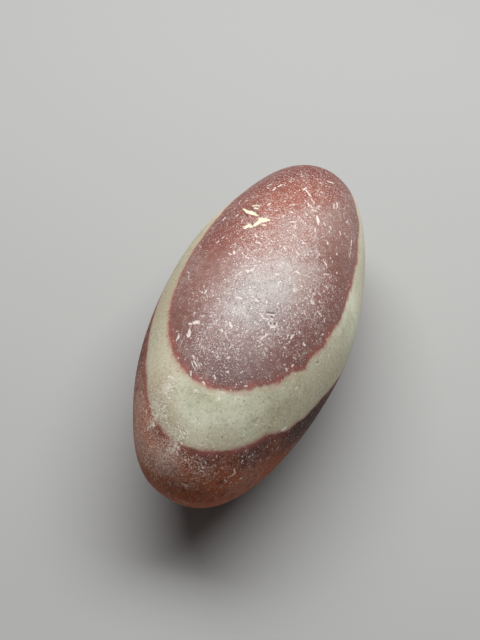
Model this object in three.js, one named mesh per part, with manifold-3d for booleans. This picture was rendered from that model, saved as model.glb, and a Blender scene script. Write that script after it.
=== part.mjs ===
// A shiva lingam stone: one river-tumbled pebble of banded quartz, a long smooth egg that lies
// on its side with its maroon cap up. Millimetres. +X runs along the stone away from its blunted
// tip, +Z is up, and the origin is on the surface it rests on, under the middle of its outline.

import * as THREE from 'three';
import { mergeVertices } from 'three/addons/utils/BufferGeometryUtils.js';
import Module from 'manifold-3d';

// The egg before wear: its full length, its breadth across the hand and its thickness.
const EGG_LENGTH = 120;
const EGG_BREADTH = 54.8;
const EGG_THICKNESS = 52.1;

// How far the small resting spot is worn back from the underside.
const RESTING_SPOT_WEAR = 0.7;

// How many times each edge of the starting icosahedron is cut, which gives 6480 triangles.
const EDGE_CUTS = 17;

// Where the river left the egg a little full or wore it a little flat. Each place is measured
// from the egg's middle, rise is out of the surface, and spread is how wide the place reaches.
const SWELLS = [
  { place: [35, 17.5, 13], spread: 14, rise: -0.9 }, // flat left shoulder of the pointed end
  { place: [-45, 19.5, 1], spread: 13, rise: -0.55 }, // flat left flank
  { place: [-59, 2, -3], spread: 8, rise: -1.3 }, // blunted tip
  { place: [-57.5, -1.5, 6.5], spread: 4.5, rise: -0.4 }, // shallow dent above that tip
  { place: [-36, -21, -5], spread: 15, rise: -0.2 },
  { place: [33, -23, 4], spread: 14, rise: -0.3 },
  { place: [-57, -8, -5], spread: 11, rise: -0.2 },
  { place: [-3, -27.5, -2], spread: 15, rise: 0.7 }, // full right flank
  { place: [2, 25, 10], spread: 15, rise: 0.15 },
  { place: [8, 6, -26], spread: 22, rise: -0.35 }, // flat belly beside the resting spot
  { place: [-24, -9, -23], spread: 16, rise: 0.3 }, // low swell under the blunted end
];

// Keeps only the places of the corners, so that the corners faces share become one.
function welded(geometry) {
  const bare = geometry.clone();
  bare.deleteAttribute('normal');
  bare.deleteAttribute('uv');
  return mergeVertices(bare);
}

// Draws a ball of nearly equal triangles out to the egg's size, then lifts or lowers each
// corner along the egg's own normal.
function tumbledEgg() {
  const egg = welded(new THREE.IcosahedronGeometry(1, EDGE_CUTS));
  const halfSize = new THREE.Vector3(EGG_LENGTH, EGG_BREADTH, EGG_THICKNESS).divideScalar(2);
  const corners = egg.getAttribute('position');
  const direction = new THREE.Vector3();
  for (let i = 0; i < corners.count; i += 1) {
    direction.fromBufferAttribute(corners, i);
    const corner = direction.clone().multiply(halfSize);
    const outward = direction.clone().divide(halfSize).normalize();
    let rise = 0;
    for (const swell of SWELLS) {
      const away = corner.distanceTo(new THREE.Vector3(...swell.place)) / swell.spread;
      rise += swell.rise * Math.exp(-away * away);
    }
    corner.addScaledVector(outward, rise);
    corners.setXYZ(i, corner.x, corner.y, corner.z);
  }
  return egg;
}

// Stands the stone's box on the ground with its middle over the origin.
function setOnGround(geometry) {
  geometry.computeBoundingBox();
  const middle = geometry.boundingBox.getCenter(new THREE.Vector3());
  geometry.translate(-middle.x, -middle.y, -geometry.boundingBox.min.z);
}

function solidFrom(wasm, geometry) {
  const closed = welded(geometry);
  return new wasm.Manifold(new wasm.Mesh({
    numProp: 3,
    vertProperties: new Float32Array(closed.getAttribute('position').array),
    triVerts: new Uint32Array(closed.getIndex().array),
  }));
}

function geometryFrom(solid) {
  const mesh = solid.getMesh();
  const geometry = new THREE.BufferGeometry();
  geometry.setAttribute('position', new THREE.BufferAttribute(mesh.vertProperties, 3));
  geometry.setIndex(new THREE.BufferAttribute(mesh.triVerts, 1));
  return geometry;
}

// The underside is cut back to one small flat spot, on which the stone lies without rolling.
function withRestingSpot(wasm, egg) {
  egg.computeBoundingBox();
  const depth = EGG_THICKNESS;
  const ground = new THREE.BoxGeometry(2 * EGG_LENGTH, 2 * EGG_BREADTH, depth);
  ground.translate(0, 0, egg.boundingBox.min.z + RESTING_SPOT_WEAR - depth / 2);
  return geometryFrom(solidFrom(wasm, egg).subtract(solidFrom(wasm, ground)));
}

const wasm = await Module();
wasm.setup();

const stoneGeometry = withRestingSpot(wasm, tumbledEgg());
setOnGround(stoneGeometry);
stoneGeometry.computeVertexNormals();

const wornStone = new THREE.MeshStandardMaterial({
  color: 0x8c645f,
  roughness: 0.5,
  metalness: 0,
});

const stone = new THREE.Mesh(stoneGeometry, wornStone);
stone.name = 'stone';

const group = new THREE.Group();
group.add(stone);

export default group;
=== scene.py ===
import math

import bpy
import numpy as np
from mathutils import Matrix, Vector
from mathutils.bvhtree import BVHTree


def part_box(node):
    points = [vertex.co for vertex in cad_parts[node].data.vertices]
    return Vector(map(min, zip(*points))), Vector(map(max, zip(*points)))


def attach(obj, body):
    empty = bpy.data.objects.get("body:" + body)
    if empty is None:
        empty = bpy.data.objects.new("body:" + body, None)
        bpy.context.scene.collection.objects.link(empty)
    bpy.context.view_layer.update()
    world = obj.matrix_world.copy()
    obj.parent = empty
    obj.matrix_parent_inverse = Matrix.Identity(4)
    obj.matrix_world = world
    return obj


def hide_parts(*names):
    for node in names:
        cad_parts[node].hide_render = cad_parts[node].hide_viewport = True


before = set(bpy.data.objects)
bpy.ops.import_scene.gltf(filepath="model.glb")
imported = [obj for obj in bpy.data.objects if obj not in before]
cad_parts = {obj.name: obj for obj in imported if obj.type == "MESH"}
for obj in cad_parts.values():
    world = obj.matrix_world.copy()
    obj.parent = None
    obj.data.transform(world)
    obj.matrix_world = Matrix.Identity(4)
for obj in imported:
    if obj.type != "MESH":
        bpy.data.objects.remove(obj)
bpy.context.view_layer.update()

MM = 0.001

# ---------------------------------------------------------------------------------------------
# The stone. One pebble of fine-grained banded quartz, drawn out to a long egg and ground smooth
# by its river, then handled, knocked and dusted. It starts as a fine even mesh over the solid;
# its layers, chips and worn patches are laid out on that mesh in millimetres from its middle.
# ---------------------------------------------------------------------------------------------

FINE_FACE = 0.68 * MM
SAME_PLACE = 0.001 * MM

stone_low, stone_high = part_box("stone")
STONE_MIDDLE = np.array((Vector(stone_low) + Vector(stone_high)) / 2)
STONE_HALF = np.array((Vector(stone_high) - Vector(stone_low)) / 2) / MM


def apply_modifier(piece, kind, **settings):
    """Adds one modifier to the active piece and applies it."""
    modifier = piece.modifiers.new(kind.lower(), kind)
    for name, value in settings.items():
        setattr(modifier, name, value)
    bpy.ops.object.modifier_apply(modifier=modifier.name)


bpy.ops.object.select_all(action="DESELECT")
river_stone = bpy.data.objects.new("river_stone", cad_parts["stone"].data.copy())
bpy.context.scene.collection.objects.link(river_stone)
river_stone.select_set(True)
bpy.context.view_layer.objects.active = river_stone
bpy.ops.object.mode_set(mode="EDIT")
bpy.ops.mesh.select_all(action="SELECT")
bpy.ops.mesh.remove_doubles(threshold=SAME_PLACE)
bpy.ops.object.mode_set(mode="OBJECT")
apply_modifier(river_stone, "SUBSURF", levels=2, render_levels=2)
apply_modifier(river_stone, "REMESH", mode="VOXEL", voxel_size=FINE_FACE)

stone_mesh = river_stone.data
stone_mesh.materials.clear()

# Where the stone is looked at from, and how wide and high that view is.
VIEW_WIDTH = 480
VIEW_HEIGHT = 640
LENS = 42
SENSOR = 36
FOCAL = LENS / SENSOR * VIEW_HEIGHT
VIEW_ELEVATION = math.radians(54)
VIEW_HEADING = math.radians(20.96)
VIEW_DISTANCE = 0.2135
VIEW_AIM = Vector((-2.9, 4.7, 24.7)) * MM


def direction(elevation, heading):
    """The way that rises by the elevation and points along the heading round the stone."""
    level = math.cos(elevation)
    return Vector((level * math.cos(heading), level * math.sin(heading), math.sin(elevation)))


sight = direction(-VIEW_ELEVATION, VIEW_HEADING)
view_across = sight.cross(Vector((0, 0, 1))).normalized()
view_up = view_across.cross(sight)
viewpoint = VIEW_AIM - sight * VIEW_DISTANCE

# The knocks and scratches, drawn in that view. Each is how strong it shows, then its line, one
# place after another: how far across, how far down and half its width. The chips are fresh
# cream-coloured breaks; the pale marks are bruised and frosted; the dark ones are pores, save
# one stroke just over the cluster of pits on the cap, which is painted shade.
CHIPS = [
    (1, (243.6, 208.5, 0.9), (246.3, 210.2, 1.7), (248.8, 211.6, 2.8), (252, 212.6, 2.8),
     (255.5, 214, 1.7), (258, 215.2, 0.8)),
    (0.75, (254.5, 207.6, 1.4), (258, 208.2, 1.4)),
    (0.7, (252.5, 205.6, 1), (257, 204.8, 1.2), (259, 205.6, 1.1)),
    (1, (254.5, 225, 1.8), (257, 223.2, 2.6), (259.8, 221.2, 2.8), (262, 219.4, 4.3),
     (264.6, 219.4, 4), (266.4, 219.4, 1.9)),
    (0.85, (268.9, 219.8, 1.7)),
    (0.75, (262.5, 224.3, 1.4), (265.5, 224.8, 1.2)),
    (1, (245, 227.8, 1.5), (247, 226, 2.6), (249, 224.7, 2.7), (252, 226.6, 1.2)),
]
PALE_MARKS = [
    # On the cap.
    (0.8, (223, 220, 1.1), (225, 217.5, 1)), (0.7, (236.5, 216, 1.2), (238, 214.5, 1)),
    (0.4, (233, 216.5, 0.8)), (0.6, (242, 221.5, 0.9), (242.5, 219.5, 0.9)),
    (0.8, (222.5, 238, 1), (223.5, 237, 1)), (0.7, (216.5, 242.5, 0.9), (219, 241, 0.9)),
    (0.7, (245.5, 201, 0.9), (247.5, 200, 0.9)), (0.5, (252.5, 198, 1.1), (254, 196.5, 1)),
    (0.5, (257, 196, 1), (258, 195, 1)), (0.45, (238.5, 204, 1.1), (241, 200, 1)),
    (0.5, (230.5, 208.5, 1)), (0.7, (268, 185.5, 1.1), (271.5, 184, 1)),
    (0.6, (267.5, 187, 0.8), (269, 188.5, 0.8)), (0.75, (273, 190.5, 0.9), (275.5, 187.5, 1.1)),
    (0.85, (278.5, 186.5, 1.1), (281.5, 184.5, 1.2)), (0.5, (289.5, 181, 1), (291, 182.5, 1)),
    (0.6, (294, 179, 1.3)), (0.8, (268, 205, 1.1), (270, 203.5, 1.3)), (0.5, (269, 199.5, 1)),
    (0.6, (283, 216, 1.1), (284.5, 215, 1.1)), (0.8, (291, 211.5, 1.1), (292, 212.5, 1.1)),
    (0.6, (292, 205, 1), (294.5, 204.5, 1)), (0.4, (263, 190, 0.9), (264.5, 189, 0.9)),
    (0.65, (255.5, 234.5, 1.2), (256.5, 237, 1.2)), (0.9, (303, 189.5, 0.9), (306, 188, 1.2)),
    (0.85, (306, 190, 0.9), (310.5, 196, 1.1)), (0.5, (311, 198, 1.2), (314, 203, 1.8)),
    (0.7, (308, 203.5, 1), (309, 206, 1)), (0.7, (310.5, 205.5, 1), (312.5, 208, 1)),
    (0.6, (313, 210, 1.8), (316, 211, 1.8)), (0.6, (317.5, 206.5, 1.2), (320.5, 206, 1)),
    (0.5, (317, 208, 1.2), (320, 209.5, 1.2)), (0.9, (317.3, 216.5, 1.5), (318, 220, 1.9)),
    (0.9, (318, 220, 1.8), (318.3, 224.5, 0.7)), (0.75, (324, 223, 1.1), (325, 225, 1)),
    (0.9, (330, 226.5, 1), (331, 228, 1.2)), (0.7, (306, 213, 1), (307, 215, 1)),
    (0.85, (328, 181.5, 1), (333, 183, 1.2)), (0.75, (337, 203, 1.2), (337.5, 207, 1.2)),
    (0.55, (334, 204, 1.1), (334, 209, 1.4)), (0.55, (320, 182.5, 1.2), (322, 184, 1.2)),
    (0.55, (316, 190, 1), (318, 190.5, 1)), (0.6, (291, 222, 1.6), (296, 222, 1.6)),
    (0.6, (295, 225, 1.1), (295.5, 228, 1.1)), (0.6, (347.5, 220, 0.9), (347, 223, 0.9)),
    (0.6, (348.5, 222.5, 0.8), (349.5, 224.5, 0.8)), (0.7, (340, 231.5, 1), (340.5, 234.5, 1)),
    (0.5, (344.5, 233, 1)), (0.6, (315, 228, 1), (315.5, 232, 1.2)), (0.5, (355.5, 216, 1)),
    (0.5, (329, 214, 0.9), (332, 216, 0.9)), (1, (194, 322.5, 2), (197.5, 322, 2.5)),
    (0.7, (199.5, 323.5, 1)), (0.85, (189.5, 323.5, 1.4), (191, 324, 1.3)), (0.7, (190.5, 326.5, 1)),
    (0.85, (189.5, 329.5, 1.2), (189.5, 332, 1.6)), (0.85, (189.5, 333, 1.9), (189, 336, 1.7)),
    (0.8, (187, 334, 1.2), (188, 336.5, 1.2)), (0.8, (178.5, 335.5, 1.4), (178.5, 338, 1.4)),
    (0.7, (177, 339, 1.1), (176.5, 340.5, 1)), (0.4, (176.5, 331, 1), (178, 331.5, 1)),
    (0.6, (202, 316, 1.2), (205, 315.5, 1.2)), (0.5, (203.5, 318, 1)),
    (0.4, (182.5, 329, 0.6), (180, 343, 0.6)), (0.45, (184.5, 336, 0.6), (180, 346, 0.6)),
    (0.45, (181, 341, 0.6), (177, 346.5, 0.6)), (0.7, (193, 355, 0.8), (194, 359, 0.8)),
    (0.7, (191.5, 361, 0.7), (193.5, 367, 0.7)), (0.7, (195, 358, 0.8), (200, 367, 0.7)),
    (0.8, (194, 361, 0.9), (197, 366, 0.7)), (0.5, (196.5, 356.5, 0.6), (198, 360, 0.6)),
    (0.85, (178.5, 358, 1.2)), (0.5, (187.5, 349, 0.9)), (0.5, (191, 348.5, 0.8)),
    (0.5, (203.5, 348, 0.8), (203.8, 351.5, 0.8)), (0.85, (217.7, 356.8, 1.3)),
    (0.7, (227, 358, 1.2), (229, 357, 1.3)), (0.5, (195, 312, 1.1), (193, 316, 1.1)),
    (0.4, (196, 301, 0.8), (199, 300, 0.8)), (0.95, (202.3, 292.3, 1.3)),
    (0.85, (206.5, 290, 0.9), (204.5, 293.5, 0.9)), (0.7, (212.7, 291, 0.9)),
    (0.4, (204, 285, 0.9), (204, 288, 0.9)), (0.6, (217, 294, 0.9)), (0.5, (214, 324, 1.2)),
    (0.5, (215.5, 321, 1.2)), (1, (230, 322.5, 1.2), (231, 326, 1.4)),
    (0.9, (231, 326, 1.4), (231.8, 327.5, 0.8)), (0.8, (222, 329, 1), (222.5, 331.5, 1)),
    (0.7, (225, 331, 0.9), (226, 335, 0.9)), (0.6, (237, 329, 1.3)), (0.75, (246.5, 331, 1)),
    (0.7, (233, 312.5, 1.3)), (0.5, (235, 307, 1.1), (233, 311, 1.1)),
    (0.8, (260, 313, 0.7), (263.5, 317.5, 1)), (0.75, (263.5, 318, 1.1), (268.5, 319, 0.7)),
    (0.8, (268, 333.5, 0.9), (263, 337.5, 1.1)), (0.6, (263, 337.5, 1), (260, 342, 0.9)),
    (0.35, (260, 342, 1), (260, 350, 0.9)), (0.6, (259.5, 336, 0.7), (263, 336, 0.7)),
    (0.6, (265, 354.5, 1.2)), (0.6, (265, 348.5, 0.8), (267.5, 349.3, 0.8)),
    (0.6, (293, 357, 0.7), (296, 359, 0.7)), (0.95, (303.5, 343, 1), (304.5, 344.8, 1.6)),
    (0.5, (298, 353, 0.9), (299, 354, 0.9)), (0.7, (322, 334.5, 1), (323.5, 334, 1)),
    (0.7, (292, 366, 1.1), (293.5, 365, 1.1)), (0.75, (286, 368.5, 1.2), (287, 370, 1.3)),
    (0.6, (285.5, 372, 0.8)), (0.7, (289, 342, 1.4)), (0.7, (285, 347.5, 1.4)),
    (0.65, (291, 338, 1.3), (293, 334.5, 1.3)), (0.6, (299, 332, 1.2), (300, 332.5, 1.2)),
    (0.5, (316, 333, 1.1)), (0.5, (313, 341.5, 0.8)), (0.8, (327.5, 242.3, 1.1), (327.6, 244, 1)),
    (0.4, (331, 244, 0.8)), (0.7, (336.5, 247, 1)), (0.85, (337, 254, 1.2)), (0.55, (345.5, 245, 1)),
    (0.6, (355.5, 247, 0.8)), (0.85, (351.7, 240, 0.9), (351.2, 245, 0.8)),
    (0.6, (351, 245, 0.6), (350.5, 255, 0.6)), (0.65, (349, 254, 1.1), (350, 257, 1)),
    (0.4, (350, 262, 1)), (0.7, (330.5, 258, 1.2)), (0.6, (332.5, 261.5, 1.1)),
    (0.6, (316.5, 255, 0.7), (319, 253, 0.7)), (0.6, (319, 253, 0.7), (320, 255, 0.7)),
    (0.6, (320, 255, 0.7), (317.5, 256.2, 0.7)), (0.5, (322.5, 255, 1)),
    (0.8, (324.5, 262, 1), (326.5, 264.5, 1.3)), (0.7, (326.5, 264.5, 1.2), (327, 267.5, 0.8)),
    (0.6, (323.5, 274, 1.1), (328.5, 274.5, 1.2)), (0.85, (336.8, 273, 1.2)), (0.5, (329, 270.5, 0.8)),
    (0.6, (346, 289, 1.2)), (0.65, (342.5, 298, 1.2)), (0.5, (340.8, 304.5, 0.9)),
    (0.6, (326, 286.5, 1.2), (328, 289, 1.2)), (0.4, (331.5, 312.5, 0.8)),
    (0.8, (317.5, 311, 1.1), (319.5, 313.5, 1.1)), (0.7, (319.5, 313.5, 1), (321.5, 316, 0.9)),
    (0.85, (324.3, 318.5, 0.9), (324.3, 321, 0.9)), (0.6, (304, 311, 1), (305, 313.5, 1)),
    (0.95, (311, 301, 1.2), (313, 303, 1.3)), (0.7, (319.5, 301.5, 1.3)),
    (0.85, (313, 293, 1), (314, 294.5, 1.1)), (0.8, (308, 254.5, 1.3)),
    (0.85, (297, 252, 1.1), (299, 254.5, 1.2)), (0.9, (303.5, 242.5, 1.3)),
    (0.95, (296.5, 271.5, 1.2), (299, 273, 1.3)), (1, (294.2, 289, 1), (294.5, 291, 1)),
    (0.7, (301, 285.5, 1.2), (302, 286.5, 1.2)), (0.7, (296.5, 304.5, 1)),
    (0.5, (318.5, 293, 1.4), (320, 295, 1.4)), (0.55, (231, 247.5, 1.4)),
    (0.65, (229, 253, 1), (231.5, 254.7, 1)), (0.95, (234, 251, 1.1), (234.3, 253.5, 1.2)),
    (0.5, (240, 250, 1.1), (237.5, 251.5, 1.1)), (0.7, (242, 252, 0.7), (243.5, 255, 0.7)),
    (0.7, (243.5, 255, 0.7), (249, 259, 0.7)), (0.5, (242.5, 257.5, 1.2)), (0.8, (224.5, 261.5, 1)),
    (0.55, (222.5, 272.5, 0.8), (225, 271, 0.8)), (0.4, (217, 260, 0.8), (220, 260, 0.8)),
    (0.3, (218, 233, 1.3)), (0.8, (246, 270, 1.1), (248.5, 271.2, 1.3)),
    (0.7, (248.5, 271.2, 1.1), (251, 269.5, 1)), (0.65, (239, 274, 1.3)),
    (0.5, (248, 263, 0.9), (254, 263.5, 0.9)), (0.8, (256, 242, 1.2), (260, 243, 1.2)),
    (1, (276, 274, 1.2), (277, 274.2, 1.3)), (0.75, (264, 271.3, 1)), (0.95, (266.7, 302, 1.4)),
    (0.75, (237.5, 297, 1.4), (241.5, 298.5, 1.2)), (0.75, (253, 296.5, 1.4)),
    (0.85, (256, 299.5, 1.2), (258, 301, 1.2)), (0.75, (193.5, 264.7, 0.9)),
    (0.6, (187.5, 271.5, 0.9), (189, 273, 0.9)), (0.5, (188.7, 275, 0.7), (188.7, 279, 0.7)),
    (0.5, (188.7, 279, 0.7), (191, 280, 0.7)), (0.4, (191, 280, 0.7), (192.5, 277.5, 0.7)),
    (0.35, (194.5, 257, 0.7), (196, 260, 0.7)), (0.75, (191, 371.5, 1), (191, 375, 0.9)),
    (0.85, (203, 382, 1.2), (204.5, 383.5, 1.3)), (0.75, (214.2, 375, 1), (215.5, 378.5, 0.9)),
    (0.9, (228, 371.8, 1.3)), (0.6, (240.5, 372.5, 1.1), (242, 371.5, 1.1)), (0.6, (236.3, 384.2, 0.8)),
    (0.5, (239.5, 384, 0.9)), (0.65, (244.5, 386, 0.9), (247, 385.7, 0.9)), (0.4, (221.5, 371, 1.2)),
    (0.55, (327, 339, 1.1), (329, 343, 1.3)), (0.6, (267, 314, 0.8), (273.6, 315.4, 0.9)),
    (0.85, (270, 316.6, 0.8), (272.6, 319.6, 1)), (0.5, (274.6, 316.2, 0.6), (275.6, 319, 0.6)),
    (0.85, (268.8, 321.8, 0.8), (268.5, 324.2, 1)), (0.8, (268.6, 324.5, 0.8), (270.6, 325.8, 0.7)),
    (0.7, (270, 320.8, 0.7), (272, 321.4, 0.8)), (0.6, (272.6, 321.8, 0.6), (272.9, 324.6, 0.7)),
    (0.6, (274.2, 321.4, 0.7), (276, 321.5, 0.7)), (0.75, (277, 322.6, 0.8), (276.8, 325, 0.8)),
    (0.95, (271.6, 327, 1.4), (274.6, 326.4, 1.5)), (0.6, (271, 326, 0.9), (276, 325.8, 0.9)),
    # On the band.
    (0.7, (297, 387, 1.1), (295.5, 388.5, 1)), (0.6, (329, 355, 1), (328.5, 356, 1)),
    (0.6, (311, 374, 1.2)), (0.4, (300.5, 396.5, 0.8)), (0.5, (347.5, 353, 0.9)),
    (0.4, (333, 335, 1), (336, 333, 1)), (0.5, (286.5, 383, 1.2)), (0.5, (283.5, 387.5, 0.9)),
    (0.9, (256.5, 424.5, 0.9)), (0.5, (243.5, 431.5, 0.6), (243.3, 435, 0.6)), (0.5, (228.5, 419.5, 1)),
    (0.4, (269, 424.5, 0.8), (271, 425, 0.8)), (0.8, (282, 430, 1.5), (286.5, 427, 1.9)),
    (0.95, (169.3, 376.3, 1.3)), (0.95, (172.3, 377, 1.4)), (0.6, (166, 375, 0.9)),
    (1, (168.3, 387, 1.3)), (0.8, (170, 384.5, 1)), (0.8, (172, 386.3, 1.2)),
    (0.6, (174.7, 384.5, 0.8)), (0.7, (173, 390.3, 1)), (0.6, (166.5, 384.7, 0.8)),
    (0.85, (169.3, 398, 1.3)), (0.5, (165.5, 390.5, 0.9), (166.5, 392.5, 0.9)),
    (0.5, (172, 394.3, 0.8)), (0.5, (150, 398.3, 1.4)), (0.7, (163, 408.5, 1), (165.5, 405, 1)),
    (0.55, (160, 408, 1), (158, 411, 1)), (0.75, (158, 414, 1), (155, 418.5, 1)),
    (0.85, (165.5, 415.3, 1.4)), (0.5, (153, 411, 0.9), (153.5, 415, 0.9)), (0.5, (178, 411.5, 0.9)),
    (0.5, (175.5, 404.7, 0.7)), (0.6, (202, 445, 1)), (0.5, (187.5, 400.3, 0.8)),
    (0.4, (160, 390.3, 1.3)), (0.5, (190.5, 417, 0.7), (194.5, 416.3, 0.7)),
    (0.5, (194.5, 416.3, 0.7), (196, 419, 0.7)), (0.6, (196, 420.5, 0.8), (192.5, 421.3, 0.9)),
    (0.4, (194, 390, 1.5), (199, 391, 1.6)), (0.8, (219.3, 396, 1.1), (219, 398.5, 1.1)),
    (0.6, (235.2, 397, 1.1), (235.5, 400, 1.1)), (0.5, (252.7, 395, 1)),
    (0.5, (219, 391.6, 0.8), (224.5, 392, 0.8)), (0.35, (217.5, 421.5, 1.1)),
    (0.9, (180.4, 429.6, 0.8), (180.8, 432, 0.8)), (0.45, (179.4, 428.6, 0.5), (180.2, 426.9, 0.5)),
    (0.45, (180.2, 426.9, 0.5), (182, 427.3, 0.5)), (0.85, (183.9, 432.7, 0.9), (185.2, 432.9, 0.8)),
    (0.8, (181.7, 432.9, 0.5), (179.8, 436.2, 0.6)), (0.8, (179.8, 436.2, 0.6), (178, 439.4, 0.6)),
    (0.6, (180.4, 436.1, 0.5), (178.6, 439.8, 0.5)), (1, (183.2, 436.9, 1), (183.6, 437.8, 0.8)),
    (0.8, (187.8, 436.4, 0.6), (186.5, 437.5, 0.6)), (0.85, (181, 442.2, 0.7), (182, 443.4, 0.7)),
    (0.45, (184.1, 431.3, 0.5), (189.1, 429.1, 0.5)), (0.5, (187.4, 432.6, 0.6), (188.3, 434.2, 0.6)),
    (0.45, (172.4, 436.6, 1)),
    # On the base.
    (0.5, (289.5, 431, 0.7), (288.5, 433, 0.7)), (0.5, (149.5, 406, 1.2), (152, 407.5, 1.2)),
    (0.6, (153.2, 419, 1)), (1, (153, 423.5, 1.5), (154, 425.5, 1.5)),
    (0.75, (147.3, 430, 0.9), (148, 427.5, 1)), (0.75, (148, 427.5, 1), (150.5, 426, 1)),
    (0.5, (143.5, 427, 1.5)), (0.45, (143.3, 402, 1.1)), (0.9, (146.5, 464.2, 1.1)),
    (0.85, (148.5, 462.2, 1)), (0.5, (149.5, 457.5, 0.9)), (0.5, (151, 446, 1.1)),
    (0.5, (152, 441, 0.9)), (0.5, (195, 473, 2.2)), (0.5, (169.5, 482, 1.1), (171.5, 484.5, 1.2)),
    (0.7, (182.5, 484, 1.7), (187, 486, 1.6)), (0.3, (161.5, 481, 0.8), (161, 486, 0.8)),
    (0.3, (161, 486, 0.8), (165, 491, 0.8)), (0.3, (165, 491, 0.8), (171, 493, 0.8)),
    (0.35, (175, 498, 0.8), (187.5, 503.5, 1.3)), (0.3, (190, 486.5, 0.7), (190.5, 489.5, 0.7)),
    (0.3, (210, 502.5, 1.2)), (0.3, (222, 504, 1), (226, 501.5, 1)),
    (0.4, (267, 459, 0.8), (272.5, 454.5, 0.8)), (0.4, (276.5, 450, 0.9), (279.5, 446, 0.9)),
    (0.3, (268.5, 441, 0.9), (268, 447, 0.9)), (0.4, (297, 437, 0.6), (300, 436.5, 0.6)),
    (0.35, (293, 445, 0.9), (299, 440, 0.9)), (0.35, (301, 428, 0.8), (302.5, 425, 0.8)),
    (0.6, (177.4, 443.4, 1.1), (174.8, 446, 1.2)), (0.75, (178.2, 446.6, 1.1), (178.9, 449, 1.2)),
    (0.6, (169.4, 446.9, 0.9), (169.9, 451.2, 0.9)), (0.6, (171.9, 450.8, 0.7), (171.3, 453.6, 0.7)),
    (0.55, (174.1, 449.1, 0.7), (173, 451.4, 0.7)), (0.85, (176.8, 451.2, 0.8), (177.4, 453.6, 0.7)),
    (0.6, (167.7, 454.7, 0.8), (166.5, 455.2, 0.8)), (0.6, (172.7, 459.4, 0.9)),
    (0.7, (173.8, 464.9, 1.1)), (0.5, (167.2, 448, 0.6), (166.3, 451.3, 0.6)),
    (0.5, (183.2, 454.6, 0.7), (184.2, 452.8, 0.7)), (0.5, (184.2, 452.8, 0.7), (186, 452.3, 0.6)),
    (0.8, (189.2, 459.5, 0.6), (188.3, 458.4, 0.6)), (0.75, (184.8, 459.7, 0.9), (186, 460.2, 0.8)),
    (0.85, (191.1, 466.8, 0.8), (191.5, 468, 0.8)), (0.5, (196.9, 453.6, 0.6), (196.7, 456, 0.6)),
    (0.5, (163.5, 466.3, 0.8), (164.5, 468.3, 0.7)), (0.8, (202.2, 466.2, 0.7), (203.2, 468.4, 0.8)),
    (0.75, (201, 470.6, 0.8), (203.4, 472, 0.9)), (0.6, (204.6, 460.8, 0.6), (206.4, 463.6, 0.6)),
    (0.6, (206.6, 467.6, 0.6), (208.8, 466.2, 0.6)), (0.5, (212.9, 459.8, 0.6), (214.4, 460.4, 0.6)),
    (0.55, (213.6, 464.6, 0.6), (215.2, 465.6, 0.6)), (0.5, (209.2, 469.2, 0.6), (211.6, 471, 0.6)),
    (0.5, (207, 476, 0.6), (209.2, 473.4, 0.6)), (0.5, (214, 476.6, 0.6), (215, 472.8, 0.6)),
    (0.55, (216.4, 474, 0.6), (219, 471.6, 0.6)), (0.5, (217, 478.6, 0.6), (218.6, 481, 0.6)),
    (0.65, (203.2, 482.6, 0.8), (205, 484, 0.8)), (0.75, (234.3, 468.6, 0.8), (235.2, 472.6, 0.9)),
    (0.7, (235.2, 472.6, 0.8), (232.6, 475.2, 0.8)), (0.65, (230.2, 476, 0.9), (228, 477.6, 0.8)),
    (0.7, (225.4, 472.6, 0.7)), (0.7, (224.8, 480, 0.7), (226.6, 481.8, 0.8)),
    (0.7, (229.4, 483.6, 0.6), (231.6, 481.8, 0.7)), (0.6, (235.6, 483, 0.6), (237, 482, 0.6)),
    (0.8, (240.4, 478.6, 1), (243, 477.8, 1)), (0.8, (241.8, 462.8, 0.7), (242.8, 460.2, 0.8)),
    (0.6, (248.4, 457.6, 0.9), (250.2, 456, 0.9)), (0.75, (252.6, 454.8, 1)),
    (0.5, (246, 451.2, 0.7), (247.4, 449.4, 0.7)), (0.6, (248.2, 466.8, 0.6), (250.6, 466.2, 0.6)),
    (0.6, (216.8, 455.6, 0.9), (217, 457.4, 0.7)), (0.45, (215.4, 487.4, 0.7)),
    (0.35, (224, 486.2, 0.6), (236, 485.8, 0.6)), (0.3, (246.4, 465, 0.5), (252, 461.6, 0.5)),
]
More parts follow.
